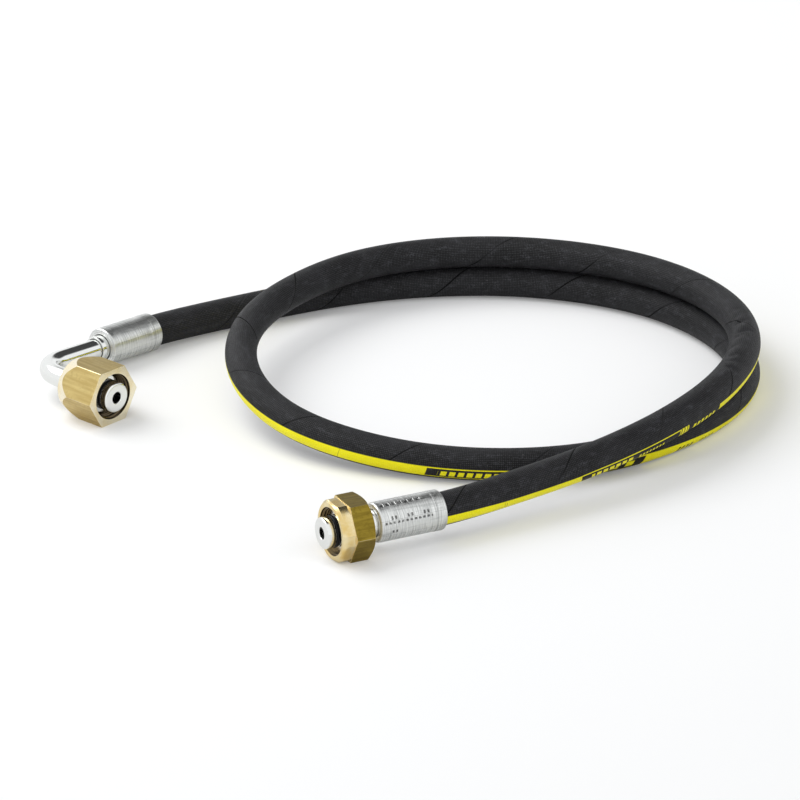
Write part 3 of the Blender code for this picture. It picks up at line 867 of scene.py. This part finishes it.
def yellow_share(made, stripe, slanted, degrees, above):
    """How yellow the stripe is: its black fields, their lined edges and the rows of blocks."""
    def fields(spans):
        return made.most_of(*(made.between(slanted, *span, FIELD_SOFT) for span in spans))

    def blocks(rows):
        return (made.row_of_blocks(slanted, degrees, row, PRINT_SOFT) for row in rows)

    black = made.most_of(fields(BLACK_FIELDS), *blocks(BLACK_ROWS))
    upper_line = made.ramp(degrees, 3.6, 5.2, 1.0, 0.0)
    lower_line = made.ramp(above, 3.2, 4.8, 1.0, 0.0)
    lines = made.all_of(made.most_of(upper_line, lower_line), fields(LINED_FIELDS))
    shown = made.most_of(lines, *blocks(YELLOW_ROWS))
    return made.all_of(stripe, made.most_of(made.math("SUBTRACT", 1.0, black), shown))


def wrap_edge(made, passed, bare):
    """The thin gap on each edge of the wrap, here and there filled, and the lap beside it."""
    shift = made.math("SUBTRACT", passed, made.math("ROUND", passed))
    off_edge = made.math("MULTIPLY", shift, WRAP_PITCH * WRAP_SQUARE)
    near = made.ramp(made.math("ABSOLUTE", off_edge), 0.18, 0.48, 1.0, 0.0)
    kept = made.ramp(made.noise(38.0, 1.0), 0.38, 0.60, 0.45, 1.0)
    rise, fall = made.ramp(off_edge, -0.3, 0.1), made.ramp(off_edge, 0.1, 6.0, 1.0, 0.0)
    return made.all_of(near, kept, bare), made.all_of(rise, fall, bare)


def cloth_weave(made, below, place):
    """The imprint: sin(round + along) sin(round - along), a net of slanting threads."""
    across = made.math("MULTIPLY", below, WEAVE_ROUND * math.tau)
    run = made.math("MULTIPLY", place, math.tau / WEAVE_PITCH)
    waves = (made.math(operation, across, run) for operation in ("ADD", "SUBTRACT"))
    return made.all_of(*(made.math("SINE", wave) for wave in waves))


def hose_cover():
    """Black rubber with a cloth imprint, a wrap edge round it and a printed yellow stripe."""
    made = Finish("hose_cover", (0.014, 0.014, 0.015), 0.55, specular=0.20)
    below, along, _ = made.parts(made.lay("stripe"))
    degrees = made.math("MULTIPLY", below, 360.0)
    place = made.math("MULTIPLY", along, 1000.0)
    lean = made.ramp(place, *LEAN_PLACES, *LEANS)
    slanted = made.math("SUBTRACT", place, made.math("MULTIPLY", degrees, lean))
    passed, turn, _ = made.parts(made.lay("wrap"))
    above = made.math("SUBTRACT", made.math("MULTIPLY", turn, 360.0), degrees)

    inside = (made.ramp(side, -STRIPE_SOFT, STRIPE_SOFT) for side in (degrees, above))
    stripe = made.all_of(*inside)
    bare = made.math("SUBTRACT", 1.0, stripe)
    yellow = yellow_share(made, stripe, slanted, degrees, above)
    gap, lap = wrap_edge(made, passed, bare)
    weave = cloth_weave(made, below, place)
    clouds = made.ramp(made.noise(48.0, 4.0), 0.3, 0.7)
    lengthwise_noise = made.noise(1.0, 4.0, (22.0, 160.0, 1.0), "stripe")
    grain = made.noise(1700.0, 3.0)
    specks = made.ramp(made.noise(900.0, 1.0), 0.72, 0.78)
    # Painted highlight on the weave's raised threads
    raised_glint = made.all_of(made.ramp(weave, 0.0, 0.9), made.ramp(grain, 0.30, 0.60))
    # Partly the rubber's bloom, partly a painted sheen
    bloom_and_sheen = made.all_of(made.ramp(lengthwise_noise, 0.46, 0.72), made.ramp(grain, 0.40, 0.62))
    joint = made.between(slanted, *JOINT, JOINT_SOFT)

    rubber = made.mix(clouds, *RUBBER)
    rubber = made.over(rubber, raised_glint, 0.8, RAISED_GLINT_GREY)
    rubber = made.over(rubber, bloom_and_sheen, 0.50, BLOOM_AND_SHEEN_GREY)
    rubber = made.over(rubber, specks, 0.30, SPECK_GREY)
    rubber = made.over(rubber, gap, 0.95, GAP_BLACK)
    paint = made.over(made.mix(clouds, *PAINT), joint, 0.6, JOINT_BROWN)
    made.colour(made.mix(yellow, rubber, paint))
    matt = made.ramp(grain, 0.3, 0.7, 0.46, 0.62)
    matt = made.math("SUBTRACT", matt, made.math("MULTIPLY", yellow, 0.20))
    made.roughness(made.math("MAXIMUM", matt, made.math("MULTIPLY", gap, 0.95)))

    # The heights leave the print out: Cycles runs what feeds a Bump three times over
    imprint = made.bump(weave, 0.00009, 1.0)
    wrapped = made.bump(lap, 0.00018, 1.0, imprint)
    worn = made.bump(grain, 0.00006, 0.5, wrapped)
    made.normal(made.bump(gap, -0.0005, 1.0, worn))
    return made.material


# Brass: its turned faces, and the lighter and darker streaks of its raw bar
OLIVE_BRASS = ((0.87, 0.74, 0.44), (0.33, 0.24, 0.036), (0.20, 0.14, 0.020))
PALE_BRASS = ((0.96, 0.88, 0.68), (0.64, 0.505, 0.215), (0.50, 0.37, 0.14))
# Painted shade: a near-black brown laid over the bore, where shade falls inside the nut
BORE_SHADE_BROWN = (0.06, 0.035, 0.012)


def turned_brass(name, colours):
    """Machined brass on turned faces, duller raw bar on the flats, painted shade inside the bore.
    """
    made = Finish(name, (0.84, 0.70, 0.38), 0.22, 1.0)
    turned, bar_light, bar_dark = colours
    bar, inside, _ = made.parts(made.lay("cut"))
    stain = made.noise(160.0, 4.0)
    drawn = made.noise(1.0, 4.0, (55.0, 60.0, 1.0), "turned")
    stained = tuple(part * part for part in turned)
    bright = made.mix(made.ramp(stain, 0.35, 0.75), turned, stained)
    raw = made.mix(made.ramp(drawn, 0.30, 0.70), bar_light, bar_dark)
    raw = made.mix(made.ramp(made.noise(700.0, 4.0), 0.50, 0.72, 0.0, 0.8), raw, bar_dark)
    # The bore is darkened almost to black with painted shade
    made.colour(made.over(made.mix(bar, bright, raw), inside, 0.93, BORE_SHADE_BROWN))
    duller = made.math("MULTIPLY", bar, 0.16)
    made.roughness(made.math("ADD", duller, made.ramp(stain, 0.3, 0.7, 0.17, 0.27)))
    lines = made.bump(made.noise(1.0, 3.0, (0.5, 9000.0, 1.0), "turned"), 0.00002, 0.4)
    made.normal(made.bump(made.all_of(drawn, bar), 0.00003, 0.4, lines))
    return made.material


def bright_plate():
    """Bright plated steel with the faintest turning lines."""
    made = Finish("bright_plate", (0.86, 0.87, 0.85), 0.12, 1.0)
    lines = made.noise(1.0, 2.0, (0.5, 7000.0, 1.0), "turned")
    made.roughness(made.ramp(lines, 0.3, 0.7, 0.08, 0.17))
    made.normal(made.bump(lines, 0.00001, 0.25))
    return made.material


# Worn dents in rows on a ferrule, darkened with painted shade: start and stop in metres from its
# face, turns round it from and to, pitch and share filled. FACE_WALK is where the outside starts
# in the UV map turned.
STAMPED_ROWS = [
    (0.0014, 0.0224, 0.276, 0.313, 0.0030, 0.55),
    (0.0050, 0.0082, 0.406, 0.430, 0.0018, 0.50),
    (0.0130, 0.0162, 0.406, 0.430, 0.0018, 0.50),
    (0.0210, 0.0242, 0.406, 0.430, 0.0018, 0.50),
    (0.0014, 0.0256, 0.450, 0.466, 0.0021, 0.55),
    (0.0050, 0.0082, 0.522, 0.543, 0.0018, 0.50),
]
FACE_WALK = 0.001
DENT_SOFT = (0.0002, 0.004)

# Zinc: its darkest and lightest, and what lies over it
ZINC = ((0.52, 0.53, 0.52), (0.88, 0.89, 0.87))
# Painted reflection: dark streaks along the dies
REFLECTION_STREAK_GREY = (0.40, 0.41, 0.40)
LINE_GREY = (0.20, 0.20, 0.20)
# Painted shade in the dents
DENT_SHADE_GREY = (0.06, 0.06, 0.06)


def crimped_zinc(name, rows=()):
    """Zinc plate with grain round the axis, painted reflection streaks along the dies, and worn
    dents darkened with painted shade.
    """
    made = Finish(name, (0.62, 0.63, 0.62), 0.34, 1.0)
    turns, down, _ = made.parts(made.lay("turned"))
    grain = made.noise(1.0, 4.0, (6.0, 2600.0, 1.0), "turned")
    streaks = made.noise(1.0, 3.0, (34.0, 55.0, 1.0), "turned")
    pits = made.noise(1100.0, 3.0)
    shade = made.mix(made.ramp(grain, 0.32, 0.68), *ZINC)
    # Painted reflection streaks along the dies
    shade = made.mix(made.ramp(streaks, 0.54, 0.66, 0.0, 0.45), shade, REFLECTION_STREAK_GREY)
    dies = made.math("MULTIPLY", turns, float(CRIMP_DIES))
    phase = made.math("FRACT", made.math("ADD", dies, 0.5))
    line = made.most_of(made.ramp(phase, 0.0, 0.02, 1.0, 0.0), made.ramp(phase, 0.98, 1.0))
    away = made.math("SUBTRACT", down, FACE_WALK)
    band = (FERRULE_LENGTH - FERRULE_BAND_LENGTH) * MM
    line = made.most_of(line, made.between(away, band - 0.0002, band + 0.0001, 0.0001))
    shade = made.over(shade, line, 0.6, LINE_GREY)
    normal = made.bump(grain, 0.00004, 0.5)
    normal = made.bump(pits, 0.00003, 0.4, normal)
    if rows:
        dents = made.most_of(*(made.row_of_blocks(away, turns, row, DENT_SOFT) for row in rows))
        dents = made.all_of(dents, made.ramp(pits, 0.28, 0.50))
        # The dents are darkened with painted shade
        shade = made.over(shade, dents, 0.85, DENT_SHADE_GREY)
        normal = made.bump(dents, -0.0003, 1.0, normal)
    made.colour(shade)
    made.roughness(made.ramp(pits, 0.3, 0.7, 0.30, 0.46))
    made.normal(normal)
    return made.material


def black_seal():
    """Smooth black rubber of the O-rings."""
    made = Finish("black_seal", (0.004, 0.004, 0.004), 0.35, specular=0.2)
    made.roughness(made.ramp(made.noise(800.0), 0.3, 0.7, 0.30, 0.42))
    return made.material


def build_hose():
    """The hose, standing for its plain solid and riding with the hose line."""
    hose, line = hose_object(hose_cover())
    fit(hose, "hose", "hose_line")


def build_straight_end(plate, seal):
    """Nipple, O-ring, ferrule and union nut of the straight end."""
    outline = nose_outline() + tail_outline(STRAIGHT_FERRULE_FACE) + [(BORE_BEVEL, BORE_R)]
    round_piece(
        "straight_nipple", "nipple_straight", outline,
        STRAIGHT_NOSE, STRAIGHT_BACK, plate,
    )
    o_ring("straight_seal", "o_ring_straight", STRAIGHT_NOSE, STRAIGHT_BACK, seal)
    ferrule(
        "straight_ferrule", "ferrule_straight", STRAIGHT_NOSE, STRAIGHT_BACK,
        STRAIGHT_FERRULE_FACE, crimped_zinc("stamped_zinc", STAMPED_ROWS),
    )
    straight_nut(turned_brass("olive_brass", OLIVE_BRASS))


def build_elbow_end(plate, seal):
    """Nose, bent tube, hose tail, O-ring, ferrule and union nut of the right-angle end."""
    socket_floor = ELBOW_BACK_FACE - SOCKET_DEPTH - SEAT_GAP
    outline = nose_outline() + [
        (ELBOW_BACK_FACE, NECK_R), (ELBOW_BACK_FACE, SOCKET_R), (socket_floor, SOCKET_R),
        (socket_floor, BORE_R), (BORE_BEVEL, BORE_R),
    ]
    round_piece(
        "elbow_nose_piece", "elbow_nose", outline, ELBOW_NOSE, ELBOW_BACK, plate
    )
    collar = ELBOW_FERRULE_FACE - COLLAR_SHOWN
    tail_floor = collar + SOCKET_DEPTH + SEAT_GAP
    outline = [(collar, SOCKET_R), (collar, NECK_R)] + tail_outline(ELBOW_FERRULE_FACE) + [
        (tail_floor, BORE_R), (tail_floor, SOCKET_R),
    ]
    round_piece(
        "elbow_tail_piece", "elbow_tail", outline, ELBOW_CORNER, LEG, plate
    )
    elbow_tube(plate)
    o_ring("elbow_seal", "o_ring_elbow", ELBOW_NOSE, ELBOW_BACK, seal)
    ferrule(
        "elbow_ferrule", "ferrule_elbow", ELBOW_CORNER, LEG, ELBOW_FERRULE_FACE,
        crimped_zinc("plain_zinc"),
    )
    elbow_nut(turned_brass("pale_brass", PALE_BRASS))


# The floor's reach to each side in metres, its white, and the light added to what is seen of it
FLOOR_REACH = 4.0
FLOOR_WHITE = (0.80, 0.80, 0.80)
FLOOR_LIFT = 0.14

# The surroundings: their light, and where they are dim, behind, to the right and above. They
# fade between two cosines of the angle to that side, down to a share of their light.
SKY_WHITE = (0.98, 0.99, 1.0, 1.0)
DIM_SIDE = (0.56, 0.40, 0.725)
DIM_FADE = (0.81, 0.89)
DIM_SHARE = 0.06

# The lamp, high at the left: its place, the point it is turned to, its side and its power
LAMP_PLACE = (-0.55, 0.95, 1.25)
LAMP_AIM = (0.1, 0.13, 0.0)
LAMP_SIDE = 1.2
LAMP_POWER = 13.0

# The camera: the point it looks at, its heading over the floor, rise, distance and lens
CAMERA_AIM = (0.09747, 0.14801, 0.0)
CAMERA_HEADING = (0.4478, 0.8942)
CAMERA_RISE = math.radians(23.0)
CAMERA_DISTANCE = 2.6066
CAMERA_LENS = 247.5


def floor():
    """A plain white floor that keeps the soft shadows. What is seen of it is a little lifted."""
    mesh = bpy.data.meshes.new("floor")
    signs = ((-1, -1), (1, -1), (1, 1), (-1, 1))
    corners = [(x * FLOOR_REACH, y * FLOOR_REACH, 0.0) for x, y in signs]
    mesh.from_pydata(corners, [], [(0, 1, 2, 3)])
    made = Finish("floor", FLOOR_WHITE, 0.9, specular=0.0)
    ray = made.tree.nodes.new("ShaderNodeLightPath").outputs
    lift = made.math("MULTIPLY", ray["Is Camera Ray"], FLOOR_LIFT)
    made.shader.inputs["Emission Color"].default_value = (1.0, 1.0, 1.0, 1.0)
    made.feed(made.shader.inputs["Emission Strength"], lift)
    mesh.materials.append(made.material)
    obj = bpy.data.objects.new("floor", mesh)
    bpy.context.scene.collection.objects.link(obj)


def aimed(name, data, place, forward):
    """A lamp or camera put at a place and turned forward."""
    obj = bpy.data.objects.new(name, data)
    obj.location = place
    obj.rotation_mode = "QUATERNION"
    obj.rotation_quaternion = forward.to_track_quat("-Z", "Y")
    bpy.context.scene.collection.objects.link(obj)
    return obj


def soft_lamp():
    """A square lamp turned towards a point."""
    lamp = bpy.data.lights.new("key", "AREA")
    lamp.shape = "RECTANGLE"
    lamp.size = LAMP_SIDE
    lamp.size_y = LAMP_SIDE
    lamp.energy = LAMP_POWER
    aimed("key", lamp, LAMP_PLACE, Vector(LAMP_AIM) - Vector(LAMP_PLACE))


def surroundings():
    """White surroundings with one dim side, which the metal mirrors."""
    world = bpy.data.worlds.new("studio")
    world.use_nodes = True
    nodes, links = world.node_tree.nodes, world.node_tree.links
    place = nodes.new("ShaderNodeTexCoord")
    toward = nodes.new("ShaderNodeVectorMath")
    toward.operation = "DOT_PRODUCT"
    toward.inputs[1].default_value = DIM_SIDE
    links.new(place.outputs["Generated"], toward.inputs[0])
    fade = nodes.new("ShaderNodeMapRange")
    fade.interpolation_type = "SMOOTHSTEP"
    spans = zip(("From Min", "From Max", "To Min", "To Max"), (*DIM_FADE, 1.0, DIM_SHARE))
    for name, value in spans:
        fade.inputs[name].default_value = value
    links.new(toward.outputs["Value"], fade.inputs["Value"])
    links.new(fade.outputs[0], nodes["Background"].inputs["Strength"])
    nodes["Background"].inputs["Color"].default_value = SKY_WHITE
    bpy.context.scene.world = world


def camera():
    """A long lens that looks down from the front left."""
    right, ahead = (part * math.cos(CAMERA_RISE) for part in CAMERA_HEADING)
    forward = Vector((right, ahead, -math.sin(CAMERA_RISE)))
    data = bpy.data.cameras.new("camera")
    data.sensor_width = 36.0
    data.lens = CAMERA_LENS
    data.clip_start = 0.1
    data.clip_end = 50.0
    place = Vector(CAMERA_AIM) - forward * CAMERA_DISTANCE
    bpy.context.scene.camera = aimed("camera", data, place, forward)


plating = bright_plate()
rubber_seal = black_seal()
build_hose()
build_straight_end(plating, rubber_seal)
build_elbow_end(plating, rubber_seal)
floor()
surroundings()
soft_lamp()
camera()
bpy.context.scene.view_settings.view_transform = "Standard"
